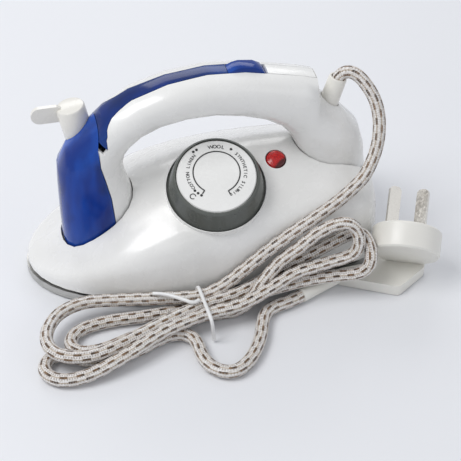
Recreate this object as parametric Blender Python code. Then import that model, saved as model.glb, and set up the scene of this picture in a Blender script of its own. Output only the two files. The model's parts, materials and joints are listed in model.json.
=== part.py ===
"""Travel steam iron with a tank in its handle and a braided mains lead.

Row frame: +X towards the heel, the nose points to -X, +Z up, the dial is on the -Y side.
The origin is under the middle of the iron, on the surface that the soleplate rests on.
"""

import math

import bmesh
import bpy
from mathutils import Matrix, Vector

MM = 0.001
GAP = 0.3

# Driving dimensions, in millimetres.
NOSE_X = -85.5
HEEL_X = 86.0
HALF_WIDTH = 43.0
NOSE_LENGTH = 70.0
HEEL_HALF_WIDTH = 39.0
HEEL_CORNER = 16.0
SKIRT_Z = 7.0
SHELL_WALL = 2.2
SOLE_THICKNESS = 5.0
SOLE_INSET = 1.3
SOLE_LEAD = 1.025

RIDGE = [(-85.5, 9.5), (-80, 13.5), (-67, 20), (-61, 24), (-53, 30.5), (-42, 38), (-33, 44.5), (-15, 52),
         (5, 57), (37, 59), (60, 58), (78, 54), (86, 49)]
SECTION = [(0.0, 1.0), (0.12, 0.992), (0.26, 0.95), (0.44, 0.875), (0.64, 0.795), (0.8, 0.73), (0.9, 0.665),
           (0.96, 0.56), (0.99, 0.4), (1.0, 0.2), (1.0, 0.0)]

# Handle side view: (inner x, inner z, outer x, outer z, half width) from the foot to the rear knuckle.
HANDLE = [
    (-31.5, 33.0, -66.4, 15.5, 15.5),
    (-30.8, 39.5, -67.2, 22.5, 16.0),
    (-32.4, 47.0, -67.3, 35.0, 16.2),
    (-35.0, 56.0, -67.2, 50.0, 16.0),
    (-35.5, 63.0, -66.6, 62.0, 15.6),
    (-34.0, 68.5, -62.0, 70.5, 15.0),
    (-30.5, 73.5, -52.5, 79.5, 14.4),
    (-25.0, 77.8, -43.5, 88.5, 14.0),
    (-16.0, 81.6, -30.5, 97.0, 14.0),
    (-4.0, 83.6, -13.0, 102.6, 14.0),
    (9.0, 83.4, 6.0, 105.0, 14.0),
    (22.0, 80.6, 24.0, 103.8, 14.0),
    (33.0, 76.6, 40.0, 100.4, 14.0),
    (41.0, 71.6, 52.0, 97.6, 14.3),
    (46.0, 65.5, 59.2, 95.4, 14.7),
    (48.6, 60.0, 60.6, 83.8, 15.1),
    (50.4, 56.0, 71.0, 76.8, 15.4),
    (51.6, 53.0, 81.2, 65.0, 15.5),
    (52.4, 49.5, 84.4, 54.0, 15.5),
    (53.0, 44.0, 85.2, 44.0, 15.5),
]
SECTION_POWER = 2.5
HANDLE_WALL = 2.2
STRIP_WIDTH = [(-50, 14.5), (-46, 12.0), (-43, 9.0), (-40.5, 7.0), (-37, 5.7), (-33, 5.0), (-20, 4.4),
               (0, 3.9), (60, 3.9)]
STRIP_DEPTHS = [(-50, 8.0), (-46, 6.0), (-43, 4.4), (-40, 3.4), (-36, 2.8), (-30, 2.4), (60, 2.4)]
STRIP_HALF_WIDTH = 3.9
TANK_REAR = [(-42.0, 0), (-42.0, 32), (-43.4, 49), (-45.6, 60), (-47.4, 68), (-47.7, 77), (-46.6, 83),
             (-46.0, 90), (-46.0, 130)]

HINGE = (66.0, 45.0)
KNUCKLE_RADIUS = 19.8
KNUCKLE_HALF_WIDTH = 11.5
HUB_RADIUS = 5.0
HANDLE_HEEL_HALF_WIDTH = 15.5
KNUCKLE_TOP_Z = 44.5
KNUCKLE_FRONT_X = 55.7
POCKET_RADIUS = 20.8
HINGE_PIN_RADIUS = 2.5
HINGE_PIN_HALF = 20.0

DIAL_BASE = (6.5, -18.4, 48.5)
DIAL_LEAN = math.radians(25.0)
DIAL_NOSEWARD = math.radians(4.0)
DIAL_BASE_RADIUS = 23.5
DIAL_FACE_RADIUS = 19.0
DIAL_HEIGHT = 14.5

LAMP = (37.8, -10.6, 55.0)
LAMP_RADIUS = 4.9
LAMP_LEAN = math.radians(24.0)

LEVER_BASE = (-53.0, 10.0, 66.0)
LEVER_LEAN = math.radians(-11.0)
LEVER_RADIUS = 7.0
LEVER_HEIGHT = 22.5
FIN_REACH = 18.5
FIN_HEIGHT = 8.6
FIN_THICKNESS = 2.2
FOOT_SLOPE = (HANDLE[0][1] - HANDLE[0][3]) / (HANDLE[0][0] - HANDLE[0][2])
VALVE_SEAT_LOW = -40.4

STEAM_DROP = (-45.2, 9.6)
SHIELD_SCREWS = {"near": (58.0, -12.0), "far": (58.0, 12.0)}
HANDLE_SCREWS = {"front": (-8.5, 92.4), "rear": (46.0, 84.6)}

SLEEVE_BASE = (64.4, 0.0, 70.8)
SLEEVE_LEAN = math.radians(17.0)
SLEEVE_RADIUS = 4.9
SLEEVE_LENGTH = 21.5

# Steam chamber: (x, half width) from the nose to the back.
CHAMBER = [(-58, 8), (-46, 13.5), (-10, 13.5)]

# Where the blue strip, the release button and the rear cap lie along the handle.
STRIP_FRONT_X = -49.5
BUTTON_X = (16.0, 34.5)
CAP_X = (35.1, 58.6)

CORD_RADIUS = 3.15

# Routes of the cord's stretches, outlines of the hank and of the plug's foot, and where the plug stands.
LEAD = [(67.3, 0, 80.3), (69.4, 0, 87.2), (71.3, 0, 92.8), (73.3, -0.6, 94.9), (75.9, -1.5, 95.3),
        (79.3, -3.5, 93.4), (82.6, -6.5, 89.7), (85.7, -10.5, 84.4), (87.1, -14.5, 78.2), (86.8, -18.5, 71.7),
        (85.0, -22.4, 64.4), (81.4, -26.0, 57.4), (77.0, -29.2, 51.9), (70.6, -32.4, 48.3),
        (61.2, -37.4, 45.3), (50.4, -41.2, 41.6), (37.9, -43.9, 36.0), (26.4, -45.4, 29.2),
        (14.0, -46.4, 21.0)]
UPPER_LOOP = [(31.0, -48.8, 23.6), (41.0, -48.2, 30.4), (48.3, -47.5, 36.0), (56.5, -47.2, 39.8),
              (63.5, -47.7, 40.6), (67.8, -48.9, 37.5), (69.3, -50.8, 32.6), (68.4, -52.2, 27.4),
              (65.5, -52.8, 24.2), (56.3, -51.6, 21.2), (46.0, -52.0, 19.6), (37.0, -52.6, 18.0)]
LOWER_LOOP = [(34.0, -45.0, 16.4), (47.0, -44.9, 21.8), (57.2, -43.7, 25.6), (64.3, -42.9, 28.0),
              (70.0, -42.7, 29.9), (74.0, -44.9, 30.0), (74.9, -49.8, 28.0), (74.7, -55.0, 23.6),
              (72.6, -57.2, 18.4), (67.3, -56.0, 14.8), (58.3, -53.2, 13.0), (44.0, -51.8, 11.8),
              (26.5, -52.0, 9.6)]
TAIL = [(23.8, -58.9, 3.6), (31.0, -57.0, 3.6), (38.5, -54.6, 3.6)]
SLACK_LOOP = [(-14.8, -74.0, 3.5), (-15.3, -79.0, 3.5), (-13.6, -88.3, 3.5), (-8.0, -94.6, 3.5),
              (-0.6, -95.4, 3.5), (7.8, -88.4, 3.5), (14.4, -77.4, 3.5), (18.4, -67.8, 3.5)]
HANK_OUTLINE = [(20.6, -59.4), (16.0, -63.4), (0.0, -68.4), (-12.0, -71.4), (-28.0, -77.4),
                (-48.0, -84.4), (-66.0, -88.2), (-80.0, -87.6), (-88.0, -83.4), (-91.0, -76.0),
                (-90.4, -66.0), (-87.0, -54.4), (-79.0, -43.6), (-68.0, -37.4), (-56.0, -37.2),
                (-46.0, -40.6), (-34.0, -44.4), (-20.0, -46.6), (-10.0, -47.0), (2.0, -47.0), (14.0, -46.6),
                (20.6, -48.8), (22.0, -54.0)]
HANK_TOP = 13.3
TIE_RADIUS = 0.9
TIE = [(-6.5, -71.6, 1.3), (-7.0, -71.6, 7.0), (-7.3, -71.5, 12.0), (-7.8, -69.4, 14.6), (-8.4, -58.0, 14.6),
       (-8.9, -48.4, 14.5), (-9.2, -46.2, 12.6), (-9.3, -45.4, 7.0), (-9.2, -45.2, 1.3)]
TIE_END = [(-31.0, -47.6, 14.6), (-25.0, -50.4, 15.2), (-18.0, -55.4, 15.2), (-13.5, -58.6, 14.6),
           (-10.6, -57.0, 14.7)]

PLUG_AXIS = Vector((0.319, 0.754, 0.574)).normalized()
PLUG_ACROSS = Vector((0.921, -0.390, 0.0)).normalized()
PLUG_MIDDLE = Vector((95.1, -46.7, 21.5))
PLUG_RADIUS = 17.0
PLUG_HALF_DEPTH = 6.5
PLATE = [(61.6, -46.6), (88.3, -60.9), (105.0, -49.4), (106.4, -46.2), (84.6, -36.6), (82.8, -39.8),
         (66.0, -40.9), (62.2, -41.3)]
PLATE_TOP = 6.0
RELIEF_START = (40.6, -53.8, 4.0)
RELIEF_END = (60.9, -44.6, 4.4)
BLADE_LENGTH = 20.0


def clear_scene():
    for old in list(bpy.data.objects):
        bpy.data.objects.remove(old, do_unlink=True)


# ---------------------------------------------------------------- helpers

def material(name, colour, roughness=0.4, metallic=0.0):
    made = bpy.data.materials.new(name)
    made.use_nodes = True
    shader = made.node_tree.nodes["Principled BSDF"]
    shader.inputs["Base Color"].default_value = (*colour, 1.0)
    shader.inputs["Roughness"].default_value = roughness
    shader.inputs["Metallic"].default_value = metallic
    return made


def place(name, bm, finish=None, smooth_angle=40.0):
    """Make an object from a bmesh whose points are millimetres in the row frame."""
    mesh = bpy.data.meshes.new(name)
    bmesh.ops.recalc_face_normals(bm, faces=bm.faces)
    bmesh.ops.scale(bm, vec=(MM, MM, MM), verts=bm.verts)
    bm.to_mesh(mesh)
    bm.free()
    mesh.shade_smooth()
    mesh.set_sharp_from_angle(angle=math.radians(smooth_angle))
    made = bpy.data.objects.new(name, mesh)
    bpy.context.scene.collection.objects.link(made)
    if finish is not None:
        mesh.materials.append(material(name, *finish))
    return made


def as_cutter(obj):
    obj.hide_render = True
    obj.display_type = "WIRE"
    return obj


def cutter(name, bm):
    return as_cutter(place("cut_" + name, bm))


def boolean(target, other, operation="DIFFERENCE"):
    step = target.modifiers.new(operation.lower(), "BOOLEAN")
    step.object = other
    step.operation = operation
    step.solver = "EXACT"


def set_origin(obj, point):
    """Move an object's origin onto its joint axis, leaving its shape where it is."""
    place_at = Vector(point) * MM
    obj.data.transform(Matrix.Translation(-place_at))
    obj.location = place_at


def knot_value(knots, x):
    """Smooth value through (position, value) knots, without overshoot."""
    if x <= knots[0][0]:
        return knots[0][1]
    if x >= knots[-1][0]:
        return knots[-1][1]
    steps = []
    for (x0, y0), (x1, y1) in zip(knots, knots[1:]):
        steps.append((y1 - y0) / (x1 - x0))
    slopes = [steps[0]]
    for before, after in zip(steps, steps[1:]):
        same_way = before * after > 0
        slopes.append(2 * before * after / (before + after) if same_way else 0.0)
    slopes.append(steps[-1])
    for i, ((x0, y0), (x1, y1)) in enumerate(zip(knots, knots[1:])):
        if x <= x1:
            h = x1 - x0
            t = (x - x0) / h
            rise = y0 * (1 + 2 * t) * (1 - t) ** 2 + y1 * t * t * (3 - 2 * t)
            return rise + h * t * (1 - t) * (slopes[i] * (1 - t) - slopes[i + 1] * t)
    return knots[-1][1]


def smooth_route(points, count):
    """Evenly spread points on a Catmull-Rom curve through the given points."""
    pts = [Vector(p) for p in points]
    pts = [2 * pts[0] - pts[1]] + pts + [2 * pts[-1] - pts[-2]]
    fine = []
    for a, b, c, d in zip(pts, pts[1:], pts[2:], pts[3:]):
        for step in range(16):
            t = step / 16
            fine.append(0.5 * (2 * b + (c - a) * t + (2 * a - 5 * b + 4 * c - d) * t * t
                               + (3 * b - a - 3 * c + d) * t ** 3))
    fine.append(pts[-2])
    along = [0.0]
    for a, b in zip(fine, fine[1:]):
        along.append(along[-1] + (b - a).length)
    route = []
    j = 0
    for k in range(count):
        want = along[-1] * k / (count - 1)
        while j < len(along) - 2 and along[j + 1] < want:
            j += 1
        share = (want - along[j]) / (along[j + 1] - along[j])
        route.append(fine[j].lerp(fine[j + 1], share))
    return route


def loft(rings):
    """Closed body through rings of equal point count, capped at both ends."""
    bm = bmesh.new()
    rows = [[bm.verts.new(p) for p in ring] for ring in rings]
    count = len(rows[0])
    for low, high in zip(rows, rows[1:]):
        for i in range(count):
            j = (i + 1) % count
            bm.faces.new((low[i], low[j], high[j], high[i]))
    bm.faces.new(rows[0])
    bm.faces.new(list(reversed(rows[-1])))
    return bm


def box(low, high):
    bm = bmesh.new()
    bmesh.ops.create_cube(bm, size=1.0)
    size = [h - l for l, h in zip(low, high)]
    centre = [(h + l) / 2 for l, h in zip(low, high)]
    bmesh.ops.scale(bm, vec=size, verts=bm.verts)
    bmesh.ops.translate(bm, vec=centre, verts=bm.verts)
    return bm


def rounded_box(low, high, radius, segments=2):
    bm = box(low, high)
    bmesh.ops.bevel(bm, geom=bm.edges[:], offset=radius, segments=segments, affect="EDGES", profile=0.5)
    return bm


def turned(profile, origin, axis, sides=32):
    """Body of revolution: (radius, height) points from the bottom centre to the top centre."""
    frame = Vector((0, 0, 1)).rotation_difference(Vector(axis)).to_matrix().to_4x4()
    frame.translation = Vector(origin)
    rings = []
    for radius, height in profile:
        ring = []
        for i in range(sides):
            angle = 2 * math.pi * i / sides
            ring.append(frame @ Vector((radius * math.cos(angle), radius * math.sin(angle), height)))
        rings.append(ring)
    return loft(rings)


def rod(start, end, radius, sides=16, chamfer=0.3):
    a, b = Vector(start), Vector(end)
    length = (b - a).length
    inner = radius - chamfer
    profile = [(inner, 0), (radius, chamfer), (radius, length - chamfer), (inner, length)]
    return turned(profile, a, b - a, sides)


def ring_body(inner, outer, height, origin, axis, sides=32):
    """A tube: its wall section turned about the axis."""
    frame = Vector((0, 0, 1)).rotation_difference(Vector(axis)).to_matrix().to_4x4()
    frame.translation = Vector(origin)
    section = [(inner, 0), (outer, 0), (outer, height), (inner, height)]
    bm = bmesh.new()
    rows = []
    for i in range(sides):
        angle = 2 * math.pi * i / sides
        turn = Vector((math.cos(angle), math.sin(angle), 0))
        rows.append([bm.verts.new(frame @ (turn * r + Vector((0, 0, z)))) for r, z in section])
    for i in range(sides):
        near, far = rows[i], rows[(i + 1) % sides]
        for k in range(4):
            m = (k + 1) % 4
            bm.faces.new((near[k], far[k], far[m], near[m]))
    return bm


def tube_curve(name, route, radius, finish, resolution=2):
    """A plain tube along a route, with filled ends."""
    line = bpy.data.curves.new(name, "CURVE")
    line.dimensions = "3D"
    line.bevel_depth = radius * MM
    line.bevel_resolution = resolution
    line.use_fill_caps = True
    spline = line.splines.new("POLY")
    spline.points.add(len(route) - 1)
    for point, at in zip(spline.points, route):
        point.co = (*(Vector(at) * MM), 1.0)
    made = bpy.data.objects.new(name, line)
    bpy.context.scene.collection.objects.link(made)
    line.materials.append(material(name, *finish))
    return made


# ---------------------------------------------------------------- plan outline and body section

def half_width(x):
    """Half width of the skirt in plan: a rounded nose, a slight taper and rounded heel corners."""
    t = x - NOSE_X
    if t < NOSE_LENGTH:
        return HALF_WIDTH * math.sqrt(max(0.0, 1 - (1 - t / NOSE_LENGTH) ** 2))
    corner_x = HEEL_X - HEEL_CORNER
    share = min(1.0, (t - NOSE_LENGTH) / (corner_x - NOSE_X - NOSE_LENGTH))
    width = HALF_WIDTH + (HEEL_HALF_WIDTH - HALF_WIDTH) * share * share
    if x > corner_x:
        width -= HEEL_CORNER - math.sqrt(max(0.0, HEEL_CORNER ** 2 - (x - corner_x) ** 2))
    return width


def plan_stations(nose_steps=11, side_steps=7, corner_steps=5):
    """X positions that follow the outline's curvature, from the nose to the heel."""
    places = []
    for k in range(nose_steps):
        angle = math.radians(4 + 86 * k / (nose_steps - 1))
        places.append(NOSE_X + NOSE_LENGTH * (1 - math.cos(angle)))
    start, corner_x = NOSE_X + NOSE_LENGTH, HEEL_X - HEEL_CORNER
    for k in range(1, side_steps + 1):
        places.append(start + (corner_x - start) * k / side_steps)
    for k in range(1, corner_steps + 1):
        places.append(corner_x + HEEL_CORNER * math.sin(math.radians(90 * k / corner_steps)))
    return places


def plan_outline(inset, z):
    """One closed horizontal ring of the plan outline, inset by a distance."""
    near = []
    for x in plan_stations():
        scale = (HALF_WIDTH - inset) / HALF_WIDTH
        middle = (NOSE_X + HEEL_X) / 2
        length_scale = ((HEEL_X - NOSE_X) / 2 - inset) / ((HEEL_X - NOSE_X) / 2)
        near.append(((x - middle) * length_scale + middle, half_width(x) * scale))
    ring = [Vector((x, -y, z)) for x, y in near]
    ring += [Vector((x, y, z)) for x, y in reversed(near)]
    return ring


def body_ring(x, inset, drop, floor_z):
    """Section of the body across X, open side down at floor_z."""
    width = half_width(x) - inset
    top = knot_value(RIDGE, x) - drop
    low = SKIRT_Z
    right = [(y * width, low + z * (top - low)) for y, z in SECTION]
    right[-1] = (right[-1][0], floor_z)
    near = [Vector((x, -y, z)) for y, z in reversed(right)]
    far = [Vector((x, y, z)) for y, z in right[1:]]
    return near + far


def body_loft(inset=0.0, drop=0.0, floor_z=SKIRT_Z, first=None, last=None):
    rings = []
    for x in plan_stations():
        if (first is None or x >= first) and (last is None or x <= last):
            rings.append(body_ring(x, inset, drop, floor_z))
    return loft(rings)


# ---------------------------------------------------------------- handle section

def handle_ring(station, shrink=0.0, sides=24):
    inner_x, inner_z, outer_x, outer_z, width = station
    inner, outer = Vector((inner_x, 0, inner_z)), Vector((outer_x, 0, outer_z))
    centre = (inner + outer) / 2
    up = (outer - inner) / 2
    half = up.length - shrink
    up.normalize()
    ring = []
    for i in range(sides):
        angle = 2 * math.pi * i / sides
        c, s = math.cos(angle), math.sin(angle)
        radius = (abs(c) ** SECTION_POWER + abs(s) ** SECTION_POWER) ** (-1 / SECTION_POWER)
        across = radius * c * (width - shrink)
        ring.append(centre + Vector((0, across, 0)) + up * (radius * s * half))
    return ring


def handle_loft(first=0, last=None, shrink=0.0):
    stations = HANDLE[first:last]
    return loft([handle_ring(s, shrink) for s in stations])


def knuckle(radius, half, front_x, top_z=KNUCKLE_TOP_Z):
    """The round end that turns in the body: the part of a drum that stays below a height."""
    start = 180 + math.degrees(math.acos((HINGE[0] - front_x) / radius))
    outline = [(HINGE[0] + radius * 0.8, top_z), (front_x, top_z)]
    outline += hinge_arc(radius, start, 350.0, 15)
    return loft([[Vector((x, y, z)) for x, z in outline] for y in (-half, half)])


def hinge_arc(radius, start, end, steps):
    points = []
    for k in range(steps + 1):
        angle = math.radians(start + (end - start) * k / steps)
        points.append((HINGE[0] + radius * math.cos(angle), HINGE[1] + radius * math.sin(angle)))
    return points


def pocket_body():
    """The space swept by the round end and the heel above it, higher over the hinge."""
    half = HANDLE_HEEL_HALF_WIDTH + 0.5
    outline = hinge_arc(POCKET_RADIUS, 164.5, 361.0, 32) + [(80.2, 45.36), (80.2, 50.56)]
    return loft([[Vector((x, y, z)) for x, z in outline] for y in (-half, half)])


def hinge_rod(radius, half, sides=20):
    return rod((HINGE[0], -half, HINGE[1]), (HINGE[0], half, HINGE[1]), radius, sides, 0.1)


# ---------------------------------------------------------------- finishes

WHITE = ((0.80, 0.80, 0.78), 0.28)
BLUE = ((0.02, 0.08, 0.45), 0.12)
DIAL_GREY = ((0.09, 0.10, 0.085), 0.35)
STEEL = ((0.62, 0.62, 0.60), 0.3, 1.0)
CAST = ((0.16, 0.17, 0.16), 0.4, 0.8)
BRASS = ((0.70, 0.52, 0.24), 0.3, 1.0)
CERAMIC = ((0.78, 0.72, 0.62), 0.7)
RUBBER = ((0.04, 0.04, 0.04), 0.7)
CREAM = ((0.76, 0.73, 0.64), 0.4)
RED = ((0.65, 0.01, 0.01), 0.15)
BRAID = ((0.72, 0.70, 0.66), 0.8)


# ---------------------------------------------------------------- sole group

def make_soleplate():
    rings = [plan_outline(SOLE_INSET + 1.2, 0.0), plan_outline(SOLE_INSET, 0.9),
             plan_outline(SOLE_INSET, SOLE_THICKNESS)]
    for ring in rings:
        for point in ring:
            if point.x < 0:
                point.x *= SOLE_LEAD
    sole = place("soleplate", loft(rings), CAST)
    boolean(sole, cutter("steam_chamber", chamber_plate(0.0, SOLE_THICKNESS - 2.4, SOLE_THICKNESS + 1)))
    for k, (x, y) in enumerate(steam_holes()):
        boolean(sole, cutter(f"steam_hole_{k}", rod((x, y, -1), (x, y, 4), 1.2, 8, 0.1)))
    return sole


def chamber_plate(inset, low, high):
    """A plate in the shape of the steam chamber: narrow at the nose, wide at the back."""
    points = [(x, w - inset) for x, w in CHAMBER]
    points[0] = (points[0][0] + inset, points[0][1])
    points[-1] = (points[-1][0] - inset, points[-1][1])
    outline = [(x, -w) for x, w in points] + [(x, w) for x, w in reversed(points)]
    return loft([[Vector((x, y, low)) for x, y in outline], [Vector((x, y, high)) for x, y in outline]])


def steam_holes():
    holes = [(-54, 0)]
    for x, y in ((-46, 6), (-36, 9), (-26, 9), (-16, 9)):
        holes += [(x, -y), (x, y)]
    return holes


def make_heating():
    lid_low = SOLE_THICKNESS + GAP
    lid = place("steam_chamber_lid", chamber_plate(-2.0, lid_low, lid_low + 1.6), STEEL)
    boolean(lid, cutter("steam_inlet", rod((*STEAM_DROP, 3), (*STEAM_DROP, 10), 1.8, 12)))
    path = [(64, -15), (48, -19), (20, -23.5), (-10, -24), (-34, -23), (-52, -19), (-64, -11), (-69, 0),
            (-64, 11), (-52, 19), (-34, 23), (-10, 24), (20, 23.5), (48, 19), (64, 15)]
    path = [(x, y, 9) for x, y in path]
    tube_curve("heating_element", smooth_route(path, 44), 3.2, CAST, 2)
    for side, y in (("near", -15.2), ("far", 15.2)):
        place(f"heater_terminal_{side}", rod((64.4, y, 9), (73.5, y, 9), 1.3, 10), STEEL)
    profile = [(1.2, 0), (2.1, 1.5), (2.1, 12.5), (1.2, 14)]
    fuse = turned(profile, (38, 0, SOLE_THICKNESS + 2.6), (1, 0, 0), 12)
    place("thermal_fuse", fuse, CERAMIC)


def make_shield_and_gasket():
    rings = [plan_outline(4.2, SOLE_THICKNESS + GAP), plan_outline(4.2, SKIRT_Z + 2.0)]
    gasket = place("skirt_gasket", loft(rings), RUBBER)
    hole = [plan_outline(7.6, SOLE_THICKNESS - 1), plan_outline(7.6, SKIRT_Z + 4)]
    boolean(gasket, cutter("gasket_middle", loft(hole)))
    shield = place("heat_shield", loft([plan_outline(12.0, 15.0), plan_outline(12.0, 15.8)]), STEEL)
    boolean(shield, cutter("shield_nose", box((-90, -50, 10), (-36, 50, 20))))
    boolean(shield, cutter("shield_shaft", rod((9.8, -3, 10), (9.8, -3, 20), 7.0, 20)))
    for side, (x, y) in SHIELD_SCREWS.items():
        boolean(shield, cutter(f"shield_hole_{side}", rod((x, y, 10), (x, y, 20), 1.9, 16)))
        screw = [(2.4, 12.9), (3.0, 13.3), (3.0, 14.7), (1.5, 14.7), (1.5, 23.4), (0.8, 24.2)]
        place(f"shield_screw_{side}", turned(screw, (x, y, 0), (0, 0, 1), 16), STEEL)


# ---------------------------------------------------------------- body group

def dial_axis():
    lean = math.sin(DIAL_LEAN)
    return Vector((-math.sin(DIAL_NOSEWARD), -lean, math.cos(DIAL_LEAN))).normalized()


def lamp_axis():
    return Vector((0, -math.sin(LAMP_LEAN), math.cos(LAMP_LEAN)))


def dial_rod(name, radius, low, high, sides=32):
    """Cylinder on the dial's axis, between two heights over the dial's base."""
    base, axis = Vector(DIAL_BASE), dial_axis()
    return rod(base + axis * low, base + axis * high, radius, sides, 0.05)


def make_body_shell():
    shell = place("body_shell", body_loft(), WHITE)
    cavity = cutter("cavity", body_loft(SHELL_WALL, SHELL_WALL + 0.2, SKIRT_Z - 4, -66, 84.2))
    boolean(cavity, cutter("hinge_block", box((43.5, -18.4, 22.2), (95, 18.4, 80))))
    boolean(cavity, cutter("nose_block", handle_foot(3.5, 4.5)))
    for side, (x, y) in SHIELD_SCREWS.items():
        boolean(cavity, cutter(f"shield_boss_{side}", rod((x, y, 16.2), (x, y, 26), 4.4, 20)))
    boolean(shell, cavity)
    recess = [plan_outline(3.9, SKIRT_Z - 4), plan_outline(3.9, 9.3), plan_outline(8.5, 9.31),
              plan_outline(8.5, 12.7)]
    boolean(shell, cutter("sole_recess", loft(recess)))
    seat = cutter("dial_seat", dial_rod("seat", DIAL_BASE_RADIUS + 0.9, -3.2, 3.0, 44))
    boolean(seat, cutter("seat_limit", body_loft(0.7, 0.7, 20.0)), "INTERSECT")
    boolean(shell, seat, "UNION")
    boolean(shell, cutter("dial_recess", dial_rod("recess", DIAL_BASE_RADIUS + 0.5, -GAP, 30, 50)))
    boolean(shell, cutter("shaft_hole", dial_rod("hole", 5.2, -12, 5, 24)))
    lamp, axis = Vector(LAMP), lamp_axis()
    boolean(shell, cutter("lamp_hole", rod(lamp - axis * 12, lamp + axis * 12, LAMP_RADIUS + GAP, 28)))
    boolean(shell, cutter("foot_pocket", handle_foot(0.9, 1.6)))
    boolean(shell, cutter("foot_drain", rod((*STEAM_DROP, 5), (*STEAM_DROP, 40), 2.2, 16)))
    boolean(shell, cutter("knuckle_slot", box((79, -15.6, 30.2), (95, 15.6, 63))))
    boolean(shell, cutter("knuckle_pocket", pocket_body()))
    boolean(shell, cutter("knuckle_mouth", handle_heel(0.45)))
    boolean(shell, cutter("pin_hole", hinge_rod(HINGE_PIN_RADIUS + GAP, HINGE_PIN_HALF + 0.6)))
    for side, (x, y) in SHIELD_SCREWS.items():
        boolean(shell, cutter(f"boss_hole_{side}", rod((x, y, 10), (x, y, 24.8), 1.8, 16)))
    return shell


def handle_foot(grow, drop):
    """The handle's foot, grown all round, as a cutter for the scoop it stands in."""
    rings = []
    for station in HANDLE[:4]:
        ring = handle_ring(station, -grow)
        rings.append([p - Vector((0, 0, drop)) for p in ring])
    top = [p + Vector((0, 0, 40)) for p in rings[-1]]
    return loft(rings + [top])


def handle_heel(grow):
    """The handle's rear foot, grown all round, as a cutter for the mouth of its pocket."""
    rings = [handle_ring(station, -grow) for station in HANDLE[-5:]]
    top = [p + Vector((0, 0, 20)) for p in rings[0]]
    below = [p - Vector((0, 0, 4)) for p in rings[-1]]
    return loft([top] + rings + [below])


def make_lamp():
    lamp, axis = Vector(LAMP), lamp_axis()
    profile = [(3.6, -6), (4.0, -5.6), (4.0, -1.4), (LAMP_RADIUS, -1.0), (LAMP_RADIUS, 0.4),
               (4.4, 1.5), (2.6, 2.3), (0.8, 2.6)]
    place("lamp_lens", turned(profile, lamp, axis, 28), RED)
    bulb = [(1.4, -17), (2.4, -16), (2.4, -9.5), (1.6, -7.6), (0.6, -6.6)]
    place("neon_lamp", turned(bulb, lamp, axis, 16), CERAMIC)


# ---------------------------------------------------------------- dial group

def make_dial():
    base, axis = Vector(DIAL_BASE), dial_axis()
    slope = (DIAL_BASE_RADIUS - DIAL_FACE_RADIUS - 1.4) / DIAL_HEIGHT
    profile = [(6.0, 0.0), (DIAL_BASE_RADIUS - 0.6, 0.0), (DIAL_BASE_RADIUS, 0.6), (DIAL_BASE_RADIUS, 2.6),
               (DIAL_BASE_RADIUS - 0.7, 3.6), (DIAL_BASE_RADIUS - 9.0 * slope - 0.6, DIAL_HEIGHT - 1.6),
               (DIAL_FACE_RADIUS + 1.2, DIAL_HEIGHT - 0.4), (DIAL_FACE_RADIUS + 0.6, DIAL_HEIGHT),
               (DIAL_FACE_RADIUS + GAP, DIAL_HEIGHT - 0.2), (DIAL_FACE_RADIUS + GAP, DIAL_HEIGHT - 2.6),
               (6.0, DIAL_HEIGHT - 2.6)]
    ring = place("dial_ring", turned(profile, base, axis, 56), DIAL_GREY)
    boolean(ring, cutter("dial_bore", dial_rod("bore", 3.3, -5, 20, 20)))
    low, high = DIAL_HEIGHT - 2.3, DIAL_HEIGHT - 0.2
    face = [(4.0, low), (DIAL_FACE_RADIUS - 0.3, low), (DIAL_FACE_RADIUS, low + 0.3),
            (DIAL_FACE_RADIUS, high - 0.5), (DIAL_FACE_RADIUS - 0.5, high), (4.0, high)]
    disc = place("dial_face", turned(face, base, axis, 56), WHITE)
    shaft = place("thermostat_shaft", dial_rod("shaft", 3.0, -37.5, DIAL_HEIGHT - 2.8, 20), BRASS)
    clip = place("dial_clip", ring_body(3.3, 4.9, 1.0, base - axis * 1.4, axis, 20), STEEL)
    for piece in (ring, disc, shaft, clip):
        set_origin(piece, DIAL_BASE)


def make_thermostat():
    end = Vector(DIAL_BASE) - dial_axis() * 37.5
    low = SOLE_THICKNESS + GAP
    block = rounded_box((end.x - 9, end.y - 7, low), (end.x + 9, end.y + 7, 12.2), 0.8, 1)
    base = place("thermostat_base", block, CERAMIC)
    slot = box((end.x - 20, end.y - 3.4, 9.4), (end.x + 6.5, end.y + 3.4, 20))
    boolean(base, cutter("thermostat_slot", slot))
    boolean(base, cutter("thermostat_socket", dial_rod("socket", 3.4, -45, -30, 20)))
    strip = box((end.x - 17, end.y - 2.8, 7.4), (end.x - 9.4, end.y + 2.8, 8.2))
    place("thermostat_bimetal", strip, BRASS)


# ---------------------------------------------------------------- handle group

def tank_split(gap, low=-40, high=40):
    """Everything behind the tank's rear face, with a gap."""
    outline = [(x + gap, z) for x, z in TANK_REAR] + [(120, 130), (120, 0)]
    near = [Vector((a, low, z)) for a, z in outline]
    far = [Vector((a, high, z)) for a, z in outline]
    return loft([near, far])


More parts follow.
